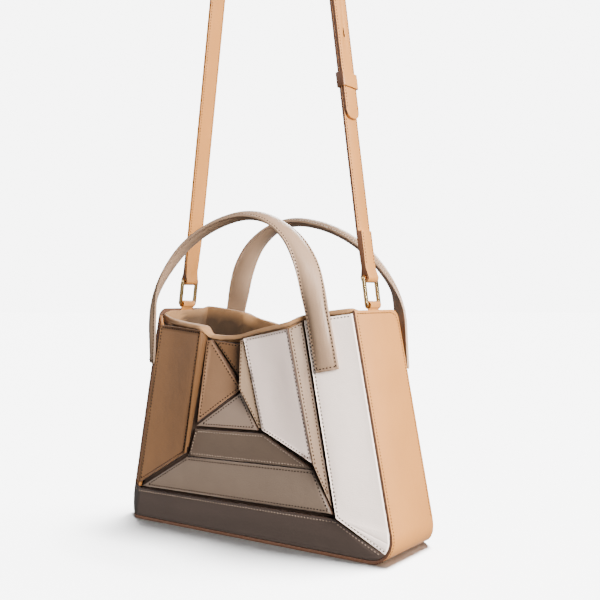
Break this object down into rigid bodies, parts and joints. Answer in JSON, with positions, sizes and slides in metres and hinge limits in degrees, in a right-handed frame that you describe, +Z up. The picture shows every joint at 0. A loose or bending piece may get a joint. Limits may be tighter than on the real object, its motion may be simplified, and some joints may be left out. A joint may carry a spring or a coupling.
{
  "type": "tote bag",
  "caption": "Small structured tote bag of stepped leather panels in browns, taupes and white, with padded top handles, gold rings and a long shoulder strap that holds it up.",
  "frame": {"origin": "where the bag hangs: the underside of the shoulder strap at the top of its loop, over the middle of the bag", "axes": "+Z up, along the hanging bag's height; +X along the bag's width, to the right seen from the front; the front faces -Y"},
  "size_m": [0.2862, 0.102, 0.7202],
  "materials": {
    "tan_leather": "smooth tan calf leather, fine grain, satin",
    "white_leather": "smooth off-white leather, satin",
    "pearl_leather": "smooth pale grey-pink leather, satin",
    "brown_leather": "smooth brown leather, satin",
    "caramel_leather": "smooth orange-brown leather, satin",
    "camel_leather": "smooth camel leather, satin",
    "sand_leather": "smooth sand leather, satin",
    "taupe_leather": "smooth light taupe leather, satin",
    "dark_taupe_leather": "smooth dark grey-taupe leather, satin",
    "handle_leather": "smooth taupe leather over padding, satin",
    "suede": "soft brown microsuede, matt",
    "gold_metal": "polished pale gold"
  },
  "bodies": {
    "root": {"front_tall_panel": "brown_leather", "front_fold_wall": "caramel_leather", "front_kite_panel": "camel_leather", "front_small_triangle": "brown_leather", "front_inner_strip": "sand_leather", "front_inner_white": "pearl_leather", "front_outer_strip": "sand_leather", "front_outer_white": "white_leather", "front_step_triangle": "taupe_leather", "front_riser": "dark_taupe_leather", "front_tread": "taupe_leather", "front_bottom_band": "dark_taupe_leather", "front_corner_panel": "caramel_leather", "back_tall_panel": "brown_leather", "back_fold_wall": "caramel_leather", "back_kite_panel": "camel_leather", "back_small_triangle": "brown_leather", "back_inner_strip": "sand_leather", "back_inner_white": "pearl_leather", "back_outer_strip": "sand_leather", "back_outer_white": "white_leather", "back_step_triangle": "taupe_leather", "back_riser": "dark_taupe_leather", "back_tread": "taupe_leather", "back_bottom_band": "dark_taupe_leather", "back_corner_panel": "caramel_leather", "gusset_band": "tan_leather", "lining": "suede", "handle_front": "handle_leather", "handle_back": "handle_leather", "ring_right": "gold_metal", "ring_left": "gold_metal", "ring_tab_right": "tan_leather", "ring_tab_left": "tan_leather", "strap_long": "tan_leather", "strap_short": "tan_leather", "strap_keeper": "tan_leather", "strap_stud": "gold_metal"}
  },
  "joints": []
}
